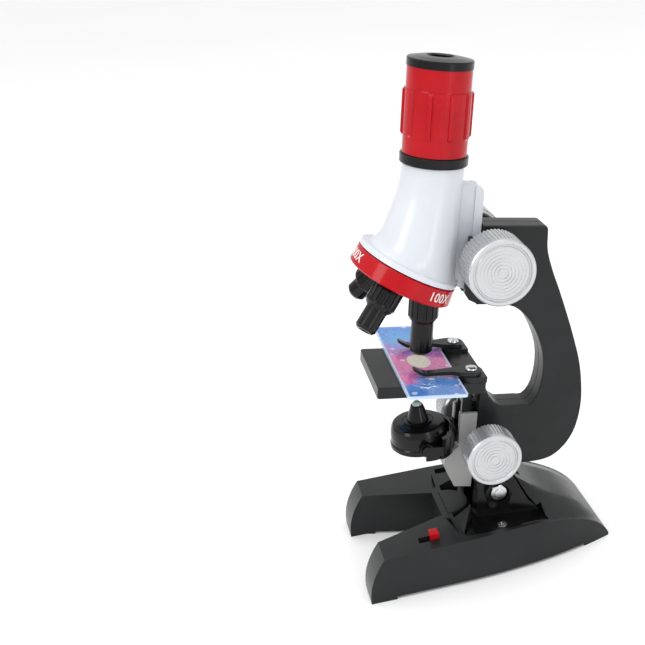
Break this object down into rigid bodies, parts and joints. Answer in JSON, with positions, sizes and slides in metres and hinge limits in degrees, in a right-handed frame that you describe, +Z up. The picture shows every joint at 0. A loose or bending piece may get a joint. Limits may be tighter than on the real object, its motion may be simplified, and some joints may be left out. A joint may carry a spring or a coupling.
{
  "type": "toy microscope",
  "caption": "Children's microscope with a forked base, a C-shaped tilting arm, rack-focused tube and stage, a turret of objectives, and a flip lamp with a mirror.",
  "frame": {"origin": "middle of the bounding box's bottom, on the plane the feet rest on", "axes": "+Z up, -Y to the open side of the base and the stage, +X to the microscope's right side, where the power switch is"},
  "size_m": [0.0754, 0.1158, 0.2243],
  "materials": {
    "charcoal": "satin dark grey plastic",
    "black": "glossy black plastic",
    "red": "glossy red plastic",
    "white": "glossy white plastic",
    "light_grey": "satin light grey plastic",
    "silver": "satin silver finish on plastic",
    "steel": "bright plated steel",
    "glass": "clear lens",
    "mirror": "silvered plastic",
    "led": "clear LED lens",
    "card": "printed plastic card",
    "copper": "sprung contacts"
  },
  "bodies": {
    "base": {"base_shell": "charcoal", "base_cover": "charcoal", "cover_screws": "steel", "battery_well": "charcoal", "battery_contacts": "copper", "switch_body": "black", "hub_housing": "black", "hub_screws": "steel", "pivot_bolt": "steel", "pivot_nut": "steel"},
    "battery_lid": {"battery_door": "charcoal", "door_screw": "steel"},
    "switch": {"switch_knob": "red"},
    "arm": {"arm_right_half": "charcoal", "arm_left_half": "charcoal", "arm_screws": "steel", "bracket": "light_grey", "lamp_yoke": "black", "lamp_pins": "black"},
    "tube": {"tube_body": "white", "tube_rack": "white", "index_ring": "black", "eyepiece_sleeve": "charcoal", "field_lens": "glass", "turret_screw": "steel"},
    "eyepiece": {"zoom_barrel": "red", "eye_cap": "black", "eye_lens": "glass"},
    "turret": {"turret_ring": "red", "objective_long": "black", "objective_long_lens": "glass", "objective_medium": "black", "objective_medium_lens": "glass", "objective_short": "black", "objective_short_lens": "glass"},
    "tube_focus": {"upper_knob_right": "silver", "upper_knob_left": "silver", "upper_shaft": "steel", "upper_pinion": "black"},
    "stage_focus": {"lower_knob_right": "silver", "lower_knob_left": "silver", "lower_shaft": "steel", "lower_pinion": "black"},
    "stage": {"stage_plate": "charcoal", "stage_rack": "charcoal", "clip_rivet_right": "steel", "clip_rivet_left": "steel"},
    "clip_r": {"clip_right": "charcoal"},
    "clip_l": {"clip_left": "charcoal"},
    "card": {"specimen_card": "card"},
    "lamp": {"lamp_drum": "black", "lamp_snout": "black", "led": "led", "mirror": "mirror"}
  },
  "joints": [
    {"name": "arm_tilt", "type": "hinge", "parent": "base", "child": "arm", "pos_m": [0.00437, 0.00611, 0.03224], "axis": [-1, 0, 0], "range_deg": [-7.4, 10]},
    {"name": "tube_knob_turn", "type": "hinge", "parent": "arm", "child": "tube_focus", "pos_m": [0.00437, 0.00719, 0.14222], "axis": [1, 0, 0], "range_deg": [-224.6, 19.3]},
    {"name": "tube_slide", "type": "slide", "parent": "arm", "child": "tube", "axis": [0, 0.1288, 0.9917], "range_m": [-0.0012, 0.0141]},
    {"name": "stage_knob_turn", "type": "hinge", "parent": "arm", "child": "stage_focus", "pos_m": [0.00437, 0.00129, 0.05727], "axis": [1, 0, 0], "range_deg": [-10.4, 125]},
    {"name": "stage_slide", "type": "slide", "parent": "arm", "child": "stage", "axis": [0, 0.1288, 0.9917], "range_m": [-0.0098, 0.0008]},
    {"name": "turret_turn", "type": "hinge", "parent": "tube", "child": "turret", "pos_m": [0.00437, -0.02457, 0.1407], "axis": [0, -0.5135, -0.8581], "continuous": true},
    {"name": "eyepiece_zoom", "type": "hinge", "parent": "tube", "child": "eyepiece", "pos_m": [0.00437, -0.00898, 0.20018], "axis": [0, 0.1288, 0.9917], "range_deg": [-90, 90]},
    {"name": "clip_right_swing", "type": "hinge", "parent": "stage", "child": "clip_r", "pos_m": [0.01937, -0.00393, 0.09465], "axis": [0, 0.1288, 0.9917], "range_deg": [-20, 70]},
    {"name": "clip_left_swing", "type": "hinge", "parent": "stage", "child": "clip_l", "pos_m": [-0.01063, -0.00393, 0.09465], "axis": [0, 0.1288, 0.9917], "range_deg": [-70, 20]},
    {"name": "card_slide", "type": "slide", "parent": "stage", "child": "card", "axis": [1, 0, 0], "range_m": [-0.012, 0.012]},
    {"name": "lamp_flip", "type": "hinge", "parent": "arm", "child": "lamp", "pos_m": [0.00437, -0.02527, 0.06], "axis": [1, 0, 0], "range_deg": [-10, 190]},
    {"name": "switch_slide", "type": "slide", "parent": "base", "child": "switch", "axis": [0, -1, 0], "range_m": [0, 0.0048]},
    {"name": "battery_lid_off", "type": "slide", "parent": "base", "child": "battery_lid", "axis": [0, 0, -1], "range_m": [0, 0.012]}
  ],
  "couplings": [
    {"joint": "tube_knob_turn", "follows": "tube_slide", "rad_per_m": -277.78},
    {"joint": "stage_knob_turn", "follows": "stage_slide", "rad_per_m": -222.22}
  ]
}
